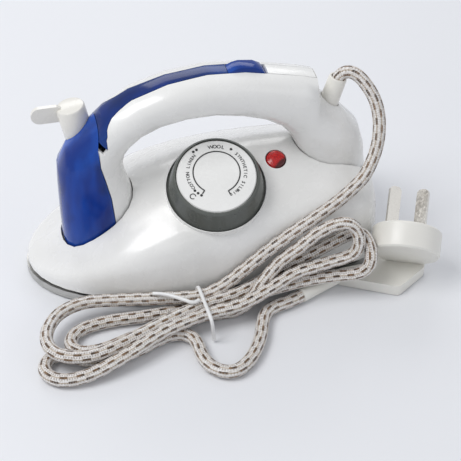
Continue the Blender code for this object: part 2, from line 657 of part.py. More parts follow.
def make_tank():
    tank = place("water_tank", handle_loft(0, 8), BLUE)
    boolean(tank, cutter("behind_tank", tank_split(-GAP)))
    hollow = cutter("tank_hollow", handle_loft(0, 8, 1.8))
    boolean(hollow, cutter("behind_hollow", tank_split(-GAP - 1.8)))
    floor = [(-90, -5), (-10, -5), (-10, foot_plane(-10) + 2.5), (-90, foot_plane(-90) + 2.5)]
    boolean(hollow, cutter("under_hollow", loft([[Vector((x, y, z)) for x, z in floor] for y in (-40, 40)])))
    boolean(tank, hollow)
    boolean(tank, cutter("lever_bore", lever_rod(LEVER_RADIUS + GAP, -2.0, 40, 28)))
    boolean(tank, cutter("tank_outlet", lever_rod(2.6, -46, -36.4, 18)))
    base, axis = Vector(LEVER_BASE), lever_axis()
    place("valve_seat", ring_body(1.1, 2.3, 1.8, base + axis * VALVE_SEAT_LOW, axis, 18), BRASS)
    normal = Vector((-FOOT_SLOPE, 0, 1)).normalized()
    outlet = base + axis * VALVE_SEAT_LOW
    place("tank_seal", ring_body(2.9, 4.6, 0.8, outlet - normal * 1.2, normal, 22), RUBBER)
    return tank


def foot_plane(x):
    """Height of the flat underside of the handle's foot."""
    return HANDLE[0][3] + FOOT_SLOPE * (x - HANDLE[0][2])


def make_handle_half(side, sign):
    """One half of the handle: the arch from the tank to the rear, and half the knuckle."""
    half = place(f"handle_shell_{side}", handle_loft(), WHITE)
    drum = knuckle(KNUCKLE_RADIUS, KNUCKLE_HALF_WIDTH, KNUCKLE_FRONT_X)
    boolean(half, cutter(f"knuckle_{side}", drum), "UNION")
    boolean(half, cutter(f"hub_{side}", hinge_rod(HUB_RADIUS, HANDLE_HEEL_HALF_WIDTH - 0.2)), "UNION")
    inside = cutter(f"handle_inside_{side}", handle_loft(0, -1, HANDLE_WALL))
    front_x = KNUCKLE_FRONT_X + HANDLE_WALL
    hollow = knuckle(KNUCKLE_RADIUS - HANDLE_WALL, KNUCKLE_HALF_WIDTH - HANDLE_WALL, front_x,
                     KNUCKLE_TOP_Z + 11.0)
    boolean(inside, cutter(f"knuckle_inside_{side}", hollow), "UNION")
    for name, (x, z) in HANDLE_SCREWS.items():
        boolean(inside, cutter(f"boss_{name}_{side}", rod((x, -20, z), (x, 20, z), 4.2, 20)))
    low, high = sorted((sign * GAP / 2, sign * 40))
    boolean(half, cutter(f"behind_{side}", tank_split(0.0, low, high)), "INTERSECT")
    boolean(half, inside)
    boolean(half, cutter(f"strip_slot_{side}", strip_body(GAP, 6.0)))
    boolean(half, cutter(f"cap_slot_{side}", cap_body(GAP, 6.0)))
    boolean(half, cutter(f"button_slot_{side}", button_block(GAP, -12)))
    boolean(half, cutter(f"pin_{side}", hinge_rod(HINGE_PIN_RADIUS + GAP, 30)))
    boolean(half, cutter(f"sleeve_{side}", sleeve_rod(SLEEVE_RADIUS + GAP, -8, 40)))
    boolean(half, cutter(f"lever_{side}", lever_rod(LEVER_RADIUS + 0.5, -2.5, 40, 26)))
    for name, (x, z) in HANDLE_SCREWS.items():
        boolean(half, cutter(f"screw_{name}_{side}", screw_rod(x, z, 1.6, -8.5, 12.0)))
        boolean(half, cutter(f"head_{name}_{side}", screw_rod(x, z, 3.0, 8.0, 20.0)))
    set_origin(half, (HINGE[0], 0, HINGE[1]))
    return half


def screw_rod(x, z, radius, low, high):
    return rod((x, low, z), (x, high, z), radius, 18, 0.1)


def make_handle_screws():
    profile = [(0.8, -7.8), (1.3, -7.2), (1.3, 8.3), (2.7, 8.3), (2.7, 9.4), (1.9, 10.4)]
    for name, (x, z) in HANDLE_SCREWS.items():
        place(f"handle_screw_{name}", turned(profile, (x, 0, z), (0, 1, 0), 18), STEEL)


def top_line():
    """The handle's outer line in side view, as (x, z) knots."""
    return [(s[2], s[3]) for s in HANDLE[5:15]]


def strip_ring(x, half, above, below):
    top = knot_value(top_line(), x)
    ahead = knot_value(top_line(), x + 1.0)
    normal = Vector((-(ahead - top), 0, 1.0)).normalized()
    on = Vector((x, 0, top))
    corners = [(-half, -below), (half, -below), (half, above), (-half, above)]
    return [on + normal * h + Vector((0, y, 0)) for y, h in corners]


def strip_body(grow, above):
    places = [STRIP_FRONT_X, -46, -43, -40.5, -37, -33, -27, -20, -11, -2, 7, BUTTON_X[0] - GAP + grow]
    if grow > 0:
        places.insert(0, STRIP_FRONT_X - 2.0)
    rings = []
    for x in places:
        width, depth = knot_value(STRIP_WIDTH, x), knot_value(STRIP_DEPTHS, x)
        rings.append(strip_ring(x, width + grow, above, depth + grow))
    return loft(rings)


def make_strip():
    strip = place("handle_strip", strip_body(0.0, 6.0), BLUE)
    boolean(strip, cutter("strip_top", handle_loft(5, 15)), "INTERSECT")
    boolean(strip, cutter("strip_front", tank_split(0.0)), "INTERSECT")
    return strip


def cap_body(grow, above):
    places = [CAP_X[0] - 3 * grow, 41, 47, 53, CAP_X[1] + grow]
    half = STRIP_HALF_WIDTH + grow
    depth = STRIP_DEPTHS[-1][1] + grow
    return loft([strip_ring(x, half, above, depth) for x in places])


def make_top_cap():
    cap = place("handle_top_cap", cap_body(0.0, 6.0), WHITE)
    boolean(cap, cutter("cap_top", handle_loft(9, 15)), "INTERSECT")
    return cap


def button_block(grow, low):
    x0, x1 = BUTTON_X
    half = STRIP_HALF_WIDTH + grow
    return box((x0 - grow, -half, 103 + low), (x1 + grow, half, 125))


def make_button():
    x0, x1 = BUTTON_X
    side = [(x0, 97.5), (x1, 97.5), (x1, 100.2), (x1 - 2.2, 103.2), (x1 - 5.5, 105.0), (x0 + 6.0, 105.9),
            (x0 + 3.0, 105.3), (x0, 104.0)]
    near = [Vector((x, -STRIP_HALF_WIDTH, z)) for x, z in side]
    far = [Vector((x, STRIP_HALF_WIDTH, z)) for x, z in side]
    bm = loft([near, far])
    rims = [e for e in bm.edges if abs(e.verts[0].co.y - e.verts[1].co.y) < 0.01 and e.verts[0].co.z > 103]
    bmesh.ops.bevel(bm, geom=rims, offset=0.7, segments=2, affect="EDGES", profile=0.5)
    place("release_button", bm, BLUE)
    place("button_spring", ring_body(1.6, 2.4, 13.6, (25, 0, 83.6), (0, 0, 1), 14), STEEL)


def make_hinge():
    place("hinge_pin", hinge_rod(HINGE_PIN_RADIUS, HINGE_PIN_HALF), STEEL)


# ---------------------------------------------------------------- steam control

def lever_axis():
    return Vector((math.sin(LEVER_LEAN), 0, math.cos(LEVER_LEAN)))


def lever_rod(radius, low, high, sides=24):
    base, axis = Vector(LEVER_BASE), lever_axis()
    return rod(base + axis * low, base + axis * high, radius, sides, 0.05)


def make_lever():
    base, axis = Vector(LEVER_BASE), lever_axis()
    profile = [(5.2, 0), (5.6, 0.4), (LEVER_RADIUS - 0.1, 3), (LEVER_RADIUS, 4.5),
               (LEVER_RADIUS, LEVER_HEIGHT - 1.2), (LEVER_RADIUS - 0.5, LEVER_HEIGHT - 0.35),
               (LEVER_RADIUS - 1.3, LEVER_HEIGHT)]
    post = place("steam_lever", turned(profile, base, axis, 28), CREAM)
    boolean(post, cutter("lever_fin", fin_body()), "UNION")
    boolean(post, cutter("lever_socket", lever_rod(1.9, -3, 12, 16)))
    set_origin(post, LEVER_BASE)
    needle = place("valve_needle", needle_body(), STEEL)
    set_origin(needle, LEVER_BASE)


def fin_body():
    """The thin finger fin: a flat blade with a round end, reaching towards the nose."""
    top = Vector(LEVER_BASE) + lever_axis() * (LEVER_HEIGHT + 0.7)
    tip = FIN_HEIGHT / 2
    outline = [(2.0, -FIN_HEIGHT), (FIN_REACH - tip, -FIN_HEIGHT)]
    for k in range(1, 8):
        angle = math.radians(-90 + 180 * k / 8)
        outline.append((FIN_REACH - tip + tip * math.cos(angle), tip * (math.sin(angle) - 1)))
    outline += [(FIN_REACH - tip, 0.0), (LEVER_RADIUS - 1.0, 0.0), (3.0, -2.0)]
    rings = []
    for y in (-FIN_THICKNESS / 2, FIN_THICKNESS / 2):
        rings.append([top + Vector((-a, y, h)) for a, h in outline])
    return loft(rings)


def needle_body():
    base, axis = Vector(LEVER_BASE), lever_axis()
    profile = [(0.3, -38), (1.5, -35.5), (1.5, 8.0), (1.2, 8.4)]
    return turned(profile, base, axis, 14)


# ---------------------------------------------------------------- cord entry

def sleeve_axis():
    return Vector((math.sin(SLEEVE_LEAN), 0, math.cos(SLEEVE_LEAN)))


def sleeve_rod(radius, low, high, sides=28):
    base, axis = Vector(SLEEVE_BASE), sleeve_axis()
    return rod(base + axis * low, base + axis * high, radius, sides, 0.05)


def make_sleeve():
    base, axis = Vector(SLEEVE_BASE), sleeve_axis()
    profile = [(5.3, 0), (5.5, 0.3), (5.0, 2.0), (SLEEVE_RADIUS, 4.0),
               (SLEEVE_RADIUS - 0.45, SLEEVE_LENGTH - 0.6), (SLEEVE_RADIUS - 0.8, SLEEVE_LENGTH)]
    sleeve = place("cord_sleeve", turned(profile, base, axis, 32), CREAM)
    boolean(sleeve, cutter("sleeve_bore", sleeve_rod(CORD_RADIUS + GAP, -3, 40)))
    set_origin(sleeve, SLEEVE_BASE)


def make_cord_clamp():
    clamp = place("cord_clamp", rounded_box((58, -6, 53.6), (71, 6, 58.4), 0.8, 1), CERAMIC)
    boolean(clamp, cutter("clamp_bore", rod((64.4, 0, 50), (64.4, 0, 62), CORD_RADIUS + GAP, 18)))


def make_terminal_block():
    block = place("terminal_block", rounded_box((24, 8, 18), (37, 24, 27), 0.6, 1), CERAMIC)
    for k, y in enumerate((11.0, 16.0, 21.0)):
        boolean(block, cutter(f"terminal_{k}", rod((20, y, 22), (40, y, 22), 1.4, 12)))


# ---------------------------------------------------------------- cord and plug


def tapered(start, end, radius, end_radius, sides=24):
    a, b = Vector(start), Vector(end)
    length = (b - a).length
    steps = 5
    profile = []
    for k in range(steps + 1):
        share = k / steps
        profile.append((radius + (end_radius - radius) * share * share, length * share))
    return turned(profile, a, b - a, sides)


def make_cord():
    tube_curve("cord_lead", smooth_route(LEAD, 32), CORD_RADIUS, BRAID, 3)
    tube_curve("cord_loop_upper", smooth_route(UPPER_LOOP, 22), CORD_RADIUS, BRAID, 2)
    tube_curve("cord_loop_lower", smooth_route(LOWER_LOOP, 24), CORD_RADIUS, BRAID, 2)
    tube_curve("cord_loop_slack", smooth_route(SLACK_LOOP, 14), CORD_RADIUS, BRAID, 2)
    tube_curve("cord_tail", smooth_route(TAIL, 5), CORD_RADIUS, BRAID, 2)
    tube_curve("cord_tie", smooth_route(TIE, 22), TIE_RADIUS, WHITE, 1)
    tube_curve("cord_tie_end", smooth_route(TIE_END, 10), TIE_RADIUS, WHITE, 1)
    outline = [Vector((x, y, 0)) for x, y in HANK_OUTLINE]
    rings = []
    for z, inset in ((0.3, 1.6), (2.4, 0.0), (HANK_TOP - 2.1, 0.0), (HANK_TOP, 1.6)):
        rings.append(inset_ring(outline, inset, z))
    place("cord_hank", loft(rings), BRAID)


def inset_ring(outline, inset, z):
    """A closed plan outline moved inwards by a distance, at a height."""
    ring = []
    count = len(outline)
    for i, point in enumerate(outline):
        along = (outline[(i + 1) % count] - outline[i - 1]).normalized()
        inward = Vector((along.y, -along.x, 0))
        ring.append(point + inward * inset + Vector((0, 0, z)))
    return ring


def make_plug():
    foot = PLUG_MIDDLE - PLUG_AXIS * PLUG_HALF_DEPTH
    depth = 2 * PLUG_HALF_DEPTH
    profile = [(PLUG_RADIUS - 0.8, 0), (PLUG_RADIUS, 0.8), (PLUG_RADIUS, depth - 1.0),
               (PLUG_RADIUS - 1.0, depth)]
    head = place("plug_body", turned(profile, foot, PLUG_AXIS, 40), CREAM)
    plate = loft([[Vector((x, y, z)) for x, y in PLATE] for z in (GAP, PLATE_TOP)])
    upright = [e for e in plate.edges if abs(e.verts[0].co.z - e.verts[1].co.z) > 1]
    bmesh.ops.bevel(plate, geom=upright, offset=1.2, segments=2, affect="EDGES", profile=0.5)
    boolean(head, cutter("plug_plate", plate), "UNION")
    boolean(head, cutter("plug_floor", box((40, -90, -20), (140, 0, GAP / 3))))
    up = PLUG_AXIS.cross(PLUG_ACROSS)
    if up.z < 0:
        up = -up
    face = PLUG_MIDDLE + PLUG_AXIS * PLUG_HALF_DEPTH
    for side, sign in (("left", -1), ("right", 1)):
        root = face + PLUG_ACROSS * (6.85 * sign - 1.2) + up * 4.0
        wide = PLUG_ACROSS * math.cos(math.radians(30)) + up * (math.sin(math.radians(30)) * sign)
        thin = PLUG_AXIS.cross(wide).normalized()
        boolean(head, cutter(f"blade_slot_{side}", blade(root - PLUG_AXIS * 5.3, wide, thin, 9.0, GAP)))
        place(f"plug_blade_{side}", blade(root - PLUG_AXIS * 5.0, wide, thin, BLADE_LENGTH + 5.0, 0.0), STEEL)
    place("plug_relief", tapered(RELIEF_START, RELIEF_END, 3.6, 3.95), CREAM)


def blade(root, wide, thin, length, grow):
    """A flat contact blade with a rounded tip, from its root along the plug's axis."""
    half, depth = 3.15 + grow, 0.8 + grow
    outline = [(-half, 0.0), (half, 0.0), (half, length - 1.6), (half - 0.9, length - 0.4),
               (half - 2.0, length), (2.0 - half, length), (0.9 - half, length - 0.4),
               (-half, length - 1.6)]
    rings = []
    for side in (-depth, depth):
        rings.append([root + wide * w + PLUG_AXIS * h + thin * side for w, h in outline])
    return loft(rings)


clear_scene()
make_soleplate()
make_heating()
make_shield_and_gasket()
make_body_shell()
make_lamp()
make_dial()
make_thermostat()
make_terminal_block()
make_tank()
make_handle_half("near", -1)
make_handle_half("far", 1)
make_handle_screws()
make_strip()
make_top_cap()
make_button()
make_hinge()
make_lever()
make_sleeve()
make_cord_clamp()
make_cord()
make_plug()
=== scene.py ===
"""Looks of the travel steam iron: its braided lead, smooth shells, print and procedural finishes.

Row frame, metres: +X towards the heel, the nose points to -X, +Z up, the dial is on the -Y side.
"""

import json
import math

import bmesh
import bpy
from mathutils import Matrix, Vector


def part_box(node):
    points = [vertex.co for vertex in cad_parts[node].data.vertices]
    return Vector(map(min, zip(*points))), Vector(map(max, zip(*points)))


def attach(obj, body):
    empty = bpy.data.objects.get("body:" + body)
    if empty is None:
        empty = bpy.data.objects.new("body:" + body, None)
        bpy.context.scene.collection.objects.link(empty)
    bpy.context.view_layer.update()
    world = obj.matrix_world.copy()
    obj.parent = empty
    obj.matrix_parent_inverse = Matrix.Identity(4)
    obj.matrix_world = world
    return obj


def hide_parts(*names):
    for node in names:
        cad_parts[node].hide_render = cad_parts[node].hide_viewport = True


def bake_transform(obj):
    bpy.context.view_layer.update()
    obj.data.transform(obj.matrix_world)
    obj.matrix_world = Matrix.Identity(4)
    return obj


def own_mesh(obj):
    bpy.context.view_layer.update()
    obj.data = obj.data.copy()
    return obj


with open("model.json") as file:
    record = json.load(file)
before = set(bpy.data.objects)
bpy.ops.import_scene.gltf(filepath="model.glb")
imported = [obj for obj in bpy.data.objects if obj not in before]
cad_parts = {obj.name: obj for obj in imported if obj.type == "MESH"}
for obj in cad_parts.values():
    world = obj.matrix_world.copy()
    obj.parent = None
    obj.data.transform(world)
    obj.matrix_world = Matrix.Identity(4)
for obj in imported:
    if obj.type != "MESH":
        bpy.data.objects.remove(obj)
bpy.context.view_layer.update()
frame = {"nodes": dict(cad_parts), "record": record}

NODES = frame["nodes"]
MM = 0.001

# ---------------------------------------------------------------- camera

VIEW_AZIMUTH = math.radians(-13.0)
VIEW_ELEVATION = math.radians(40.0)
VIEW_DISTANCE = 0.700
VIEW_LENS_MM = 106.8
VIEW_AIM = Vector((0.01794, 0.00034, 0.00521))


def make_camera():
    data = bpy.data.cameras.new("camera")
    data.lens = VIEW_LENS_MM
    data.sensor_width = 36.0
    camera = bpy.data.objects.new("camera", data)
    bpy.context.scene.collection.objects.link(camera)
    flat = math.cos(VIEW_ELEVATION)
    back = Vector((math.sin(VIEW_AZIMUTH) * flat, -math.cos(VIEW_AZIMUTH) * flat, math.sin(VIEW_ELEVATION)))
    right = Vector((math.cos(VIEW_AZIMUTH), math.sin(VIEW_AZIMUTH), 0))
    turned = Matrix((right, back.cross(right), back)).transposed()
    camera.matrix_world = Matrix.Translation(VIEW_AIM + back * VIEW_DISTANCE) @ turned.to_4x4()
    bpy.context.scene.camera = camera


# ---------------------------------------------------------------- material helpers

class Net:
    """A short way to write a material's node graph."""

    def __init__(self, name):
        self.material = bpy.data.materials.new(name)
        self.material.use_nodes = True
        self.tree = self.material.node_tree
        self.shader = self.tree.nodes["Principled BSDF"]

    def node(self, kind, **settings):
        made = self.tree.nodes.new(kind)
        for key, value in settings.items():
            setattr(made, key, value)
        return made

    def feed(self, socket, value):
        if isinstance(value, bpy.types.NodeSocket):
            self.tree.links.new(value, socket)
        else:
            socket.default_value = value

    def fixed(self, **values):
        for key, value in values.items():
            self.shader.inputs[key.replace("_", " ")].default_value = value

    def place(self):
        return self.node("ShaderNodeTexCoord").outputs["Object"]

    def math(self, operation, a, b=0.0, clamp=False):
        made = self.node("ShaderNodeMath", operation=operation, use_clamp=clamp)
        self.feed(made.inputs[0], a)
        self.feed(made.inputs[1], b)
        return made.outputs[0]

    def noise(self, scale, detail=3.0, where=None):
        made = self.node("ShaderNodeTexNoise")
        self.feed(made.inputs["Vector"], where or self.place())
        made.inputs["Scale"].default_value = scale
        made.inputs["Detail"].default_value = detail
        return made.outputs["Fac"]

    def span(self, value, low, high, to_low=0.0, to_high=1.0):
        made = self.node("ShaderNodeMapRange")
        made.inputs["From Min"].default_value = low
        made.inputs["From Max"].default_value = high
        made.inputs["To Min"].default_value = to_low
        made.inputs["To Max"].default_value = to_high
        self.feed(made.inputs["Value"], value)
        return made.outputs["Result"]

    def mix(self, share, a, b):
        made = self.node("ShaderNodeMix", data_type="RGBA")
        self.feed(made.inputs["Factor"], share)
        self.feed(made.inputs["A"], a)
        self.feed(made.inputs["B"], b)
        return made.outputs["Result"]

    def bump(self, height, strength, distance):
        made = self.node("ShaderNodeBump")
        made.inputs["Strength"].default_value = strength
        made.inputs["Distance"].default_value = distance
        self.feed(made.inputs["Height"], height)
        self.feed(self.shader.inputs["Normal"], made.outputs["Normal"])


def rgba(r, g, b):
    return (r, g, b, 1.0)


def edge_share(net, low=0.51, high=0.58):
    """1 on sharp outer edges, where a moulding is polished or rubbed, and 0 elsewhere."""
    return net.span(net.node("ShaderNodeNewGeometry").outputs["Pointiness"], low, high)


def moulded(name, light, dark, worn, rough=0.28, grain=900.0, coat=0.35):
    """Injection moulded plastic: slow tone drift, fine grain, scuffed gloss and lighter edges."""
    net = Net(name)
    drift = net.span(net.noise(28.0, 4.0), 0.35, 0.65)
    base = net.mix(drift, dark, light)
    specks = net.span(net.noise(2200.0, 2.0), 0.70, 0.80, 0.0, 0.25)
    base = net.mix(specks, base, worn)
    base = net.mix(net.math("MULTIPLY", edge_share(net), 0.5), base, worn)
    net.feed(net.shader.inputs["Base Color"], base)
    scuff = net.span(net.noise(120.0, 6.0), 0.3, 0.7, rough - 0.07, rough + 0.09)
    net.feed(net.shader.inputs["Roughness"], scuff)
    net.fixed(Coat_Weight=coat, Coat_Roughness=0.12)
    net.bump(net.noise(grain, 3.0), 0.10, 0.00008)
    return net.material


def metal(name, light, dark, rough=0.28, stretch=(1.0, 1.0, 1.0), grain=700.0, relief=0.18):
    """Metal with drawn or ground lines along one direction; their darker hollows are partly grain and partly
    painted shade, with bright edges.
    """
    net = Net(name)
    mapping = net.node("ShaderNodeMapping")
    mapping.inputs["Scale"].default_value = stretch
    net.feed(mapping.inputs["Vector"], net.place())
    lines = net.noise(grain, 5.0, mapping.outputs["Vector"])
    # The lines' tone is partly grain and partly painted shade, darker where their bump is lowest.
    base = net.mix(net.span(lines, 0.3, 0.7), dark, light)
    base = net.mix(net.math("MULTIPLY", edge_share(net), 0.6), base, rgba(0.86, 0.85, 0.82))
    net.feed(net.shader.inputs["Base Color"], base)
    net.feed(net.shader.inputs["Roughness"], net.span(lines, 0.2, 0.8, rough - 0.08, rough + 0.14))
    net.fixed(Metallic=1.0)
    net.bump(lines, relief, 0.00006)
    return net.material


def tank_blue(name, deep, bright):
    """Tinted clear plastic: deep blue, with painted highlights as lighter soft upright streaks, painted shade
    as near-black blotches, and a wet gloss.
    """
    net = Net(name)
    mapping = net.node("ShaderNodeMapping")
    mapping.inputs["Scale"].default_value = (1.0, 1.0, 0.22)
    net.feed(mapping.inputs["Vector"], net.place())
    # Painted highlight: soft upright streaks where the blue turns lighter.
    painted_highlight_streak = net.span(net.noise(62.0, 3.0, mapping.outputs["Vector"]), 0.42, 0.68)
    base = net.mix(painted_highlight_streak, deep, bright)
    # Painted shade: near-black blotches over the blue.
    dark = net.span(net.noise(46.0, 2.0), 0.55, 0.72, 0.0, 0.7)
    base = net.mix(dark, base, rgba(0.002, 0.006, 0.055))
    base = net.mix(net.math("MULTIPLY", edge_share(net), 0.25), base, rgba(0.05, 0.17, 0.60))
    net.feed(net.shader.inputs["Base Color"], base)
    net.feed(net.shader.inputs["Roughness"], net.span(net.noise(140.0, 5.0), 0.3, 0.7, 0.10, 0.18))
    net.fixed(Specular_IOR_Level=0.22, Coat_Weight=0.12, Coat_Roughness=0.06)
    net.bump(net.noise(60.0, 3.0), 0.05, 0.0002)
    return net.material


def lens_red():
    """Red lens: fine facets, with a painted dark reflection as a crescent towards two opposite sides of the
    rim.
    """
    net = Net("lens_red")
    low, high = (Vector(corner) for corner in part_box("lamp_lens"))
    centre = (low + high) / 2
    cells = net.node("ShaderNodeTexVoronoi")
    cells.inputs["Scale"].default_value = 1500.0
    net.feed(cells.inputs["Vector"], net.place())
    share = net.span(cells.outputs["Distance"], 0.2, 0.6)
    base = net.mix(share, rgba(0.72, 0.016, 0.016), rgba(0.46, 0.008, 0.010))
    # Painted reflection: a near-black crescent towards two opposite sides of the rim, set by distance from
    # the lens centre along a slant.
    parts = net.node("ShaderNodeSeparateXYZ")
    net.feed(parts.inputs[0], net.place())
    across = net.math("MULTIPLY", net.math("SUBTRACT", parts.outputs["X"], centre.x), 0.55)
    down = net.math("MULTIPLY", net.math("SUBTRACT", centre.y, parts.outputs["Y"]), 0.85)
    painted_reflection_band = net.math("ABSOLUTE", net.math("ADD", across, down))
    base = net.mix(net.span(painted_reflection_band, 0.0032, 0.0040, 0.0, 0.9), base, rgba(0.03, 0.002, 0.002))
    net.feed(net.shader.inputs["Base Color"], base)
    net.feed(net.shader.inputs["Roughness"], net.span(net.noise(300.0), 0.3, 0.7, 0.16, 0.28))
    net.fixed(Coat_Weight=0.3, Coat_Roughness=0.08)
    net.bump(cells.outputs["Distance"], 0.25, 0.0002)
    return net.material


def ink_black():
    """Screen print: near black, a little uneven."""
    net = Net("ink_black")
    base = net.mix(net.noise(900.0), rgba(0.010, 0.010, 0.010), rgba(0.030, 0.030, 0.030))
    net.feed(net.shader.inputs["Base Color"], base)
    net.feed(net.shader.inputs["Roughness"], net.span(net.noise(1400.0), 0.3, 0.7, 0.45, 0.60))
    return net.material


def braid():
    """White cotton braid with brown flecks in rows; the tube's UV is length in metres and share of a turn."""
    net = Net("braid")
    parts = net.node("ShaderNodeSeparateXYZ")
    net.feed(parts.inputs[0], net.node("ShaderNodeUVMap").outputs["UV"])
    along, around = parts.outputs["X"], parts.outputs["Y"]
    steps = net.math("MULTIPLY", along, 1.0 / 0.0011)
    turn = net.math("MULTIPLY", around, 10.0)
    one_way = net.math("SINE", net.math("MULTIPLY", net.math("ADD", steps, turn), math.pi))
    other_way = net.math("SINE", net.math("MULTIPLY", net.math("SUBTRACT", steps, turn), math.pi))
    weave = net.math("MULTIPLY", one_way, other_way)
    # Fleck rows: a dash on each carrier, and every second carrier is shifted by half a row.
    carriers = net.math("MULTIPLY", around, 8.0)
    shift = net.math("MULTIPLY", net.math("FLOOR", carriers), 0.5)
    row = net.math("FRACT", net.math("ADD", net.math("MULTIPLY", along, 1.0 / 0.0075), shift))
    middle = net.math("ABSOLUTE", net.math("SUBTRACT", net.math("FRACT", carriers), 0.5))
    threads = net.span(weave, -0.95, -0.35)
    fleck = net.math("MULTIPLY", net.math("LESS_THAN", row, 0.46), net.math("LESS_THAN", middle, 0.23))
    fleck = net.math("MULTIPLY", fleck, threads)
    tan = net.math("MULTIPLY", net.math("GREATER_THAN", row, 0.46), net.math("LESS_THAN", middle, 0.10))
    cotton = net.span(net.noise(1500.0, 4.0), 0.35, 0.65)
    yarn = net.mix(cotton, rgba(0.62, 0.57, 0.52), rgba(0.93, 0.92, 0.91))
    # Painted shade: the yarn darkens towards dark brown in the hollows between the threads, where the bump is
    # lowest.
    yarn = net.mix(net.span(weave, -0.95, -0.3, 0.75, 0.0), yarn, rgba(0.20, 0.15, 0.12))
    yarn = net.mix(net.math("MULTIPLY", tan, 0.65), yarn, rgba(0.38, 0.26, 0.13))
    dye = net.span(net.noise(420.0), 0.35, 0.65)
    brown = net.mix(dye, rgba(0.040, 0.024, 0.014), rgba(0.24, 0.145, 0.075))
    net.feed(net.shader.inputs["Base Color"], net.mix(fleck, yarn, brown))
    net.feed(net.shader.inputs["Roughness"], net.span(net.noise(900.0), 0.3, 0.7, 0.62, 0.88))
    net.fixed(Sheen_Weight=0.25)
    fibres = net.math("ADD", weave, net.math("MULTIPLY", net.noise(5200.0, 2.0), 0.5))
    net.bump(fibres, 0.6, 0.00022)
    return net.material


def floor_white():
    net = Net("floor_white")
    base = net.mix(net.noise(2.5, 2.0), rgba(0.80, 0.81, 0.84), rgba(0.85, 0.86, 0.88))
    net.feed(net.shader.inputs["Base Color"], base)
    net.fixed(Roughness=0.75)
    return net.material


# Slot: light tone, dark tone, worn tone, then roughness, grain and coat where they differ from moulded()'s.
MOULDED = {
    "white_shell": ((0.88, 0.875, 0.855), (0.80, 0.795, 0.77), (0.93, 0.93, 0.91), 0.25, 900.0, 0.45),
    "cream_plastic": ((0.83, 0.81, 0.75), (0.74, 0.72, 0.66), (0.9, 0.88, 0.83)),
    "plug_plastic": ((0.82, 0.80, 0.74), (0.73, 0.71, 0.65), (0.88, 0.87, 0.82), 0.40, 1200.0, 0.1),
    "dial_grey": ((0.080, 0.088, 0.078), (0.052, 0.058, 0.050), (0.20, 0.21, 0.19), 0.30, 1100.0, 0.25),
    "clamp": ((0.74, 0.68, 0.58), (0.62, 0.56, 0.47), (0.8, 0.75, 0.66), 0.5),
    "ceramic": ((0.80, 0.74, 0.64), (0.68, 0.62, 0.53), (0.86, 0.81, 0.73), 0.55),
    "tie": ((0.90, 0.90, 0.90), (0.80, 0.80, 0.79), (0.95, 0.95, 0.95), 0.45),
    "rubber": ((0.045, 0.045, 0.045), (0.025, 0.025, 0.025), (0.1, 0.1, 0.1), 0.7, 1500.0, 0.0),
}
# Slot: light tone, dark tone, then roughness, stretch of the lines, grain and relief as metal() takes them.
METALS = {
    "spring_steel": ((0.62, 0.62, 0.60), (0.42, 0.42, 0.41)),
    "screw_steel": ((0.60, 0.60, 0.58), (0.40, 0.40, 0.39), 0.32),
    "sheet_steel": ((0.60, 0.60, 0.58), (0.44, 0.44, 0.43), 0.36, (0.1, 1.0, 1.0)),
    "element": ((0.24, 0.23, 0.22), (0.13, 0.12, 0.12), 0.5),
    "brass": ((0.72, 0.56, 0.28), (0.50, 0.36, 0.16), 0.3),
    "blade": ((0.66, 0.61, 0.52), (0.50, 0.46, 0.39), 0.20, (1.0, 1.0, 0.08), 900.0, 0.03),
    "sole_cast": ((0.13, 0.135, 0.125), (0.045, 0.048, 0.044), 0.36, (0.5, 1.0, 1.0), 320.0),
}
TANK_DEEP, TANK_BRIGHT = rgba(0.002, 0.015, 0.17), rgba(0.006, 0.075, 0.47)
STRIP_DEEP, STRIP_BRIGHT = rgba(0.002, 0.007, 0.070), rgba(0.004, 0.016, 0.15)


def make_finishes():
    finishes = {"blue_tank": tank_blue("tank_blue", TANK_DEEP, TANK_BRIGHT)}
    finishes["red_lens"] = lens_red()
    finishes["braid"] = braid()
    for name, (light, dark, worn, *rest) in MOULDED.items():
        finishes[name] = moulded(name, rgba(*light), rgba(*dark), rgba(*worn), *rest)
    for name, (light, dark, *rest) in METALS.items():
        finishes[name] = metal(name, rgba(*light), rgba(*dark), *rest)
    return finishes


# ---------------------------------------------------------------- mesh helpers

def link(name, bm, finish, angle=35.0):
    mesh = bpy.data.meshes.new(name)
    bmesh.ops.recalc_face_normals(bm, faces=bm.faces)
    bm.to_mesh(mesh)
    bm.free()
    mesh.shade_smooth()
    mesh.set_sharp_from_angle(angle=math.radians(angle))
    mesh.materials.append(finish)
    made = bpy.data.objects.new(name, mesh)
    bpy.context.scene.collection.objects.link(made)
    return made


CURVE_STEPS = 24
EASING_PASSES = 8


def smooth_route(points, step):
    """Evenly spread points, a step apart, on a Catmull-Rom curve through points.

    The points are in millimetres and the result is in metres, eased so that no bend is a corner.
    """
    pts = [Vector(p) * MM for p in points]
    pts = [2 * pts[0] - pts[1]] + pts + [2 * pts[-1] - pts[-2]]
    fine = []
    for a, b, c, d in zip(pts, pts[1:], pts[2:], pts[3:]):
        for k in range(CURVE_STEPS):
            t = k / CURVE_STEPS
            fine.append(0.5 * (2 * b + (c - a) * t + (2 * a - 5 * b + 4 * c - d) * t * t
                               + (3 * b - a - 3 * c + d) * t ** 3))
    fine.append(pts[-2])
    along = [0.0]
    for a, b in zip(fine, fine[1:]):
        along.append(along[-1] + (b - a).length)
    count = max(2, round(along[-1] / step))
    route, j = [], 0
    for k in range(count + 1):
        want = along[-1] * k / count
        while j < len(along) - 2 and along[j + 1] < want:
            j += 1
        share = (want - along[j]) / (along[j + 1] - along[j])
        route.append(fine[j].lerp(fine[j + 1], share))
    for _ in range(EASING_PASSES):
        eased = [(a + 2 * b + c) / 4 for a, b, c in zip(route, route[1:], route[2:])]
        route = [route[0]] + eased + [route[-1]]
    return route, sum((b - a).length for a, b in zip(route, route[1:]))


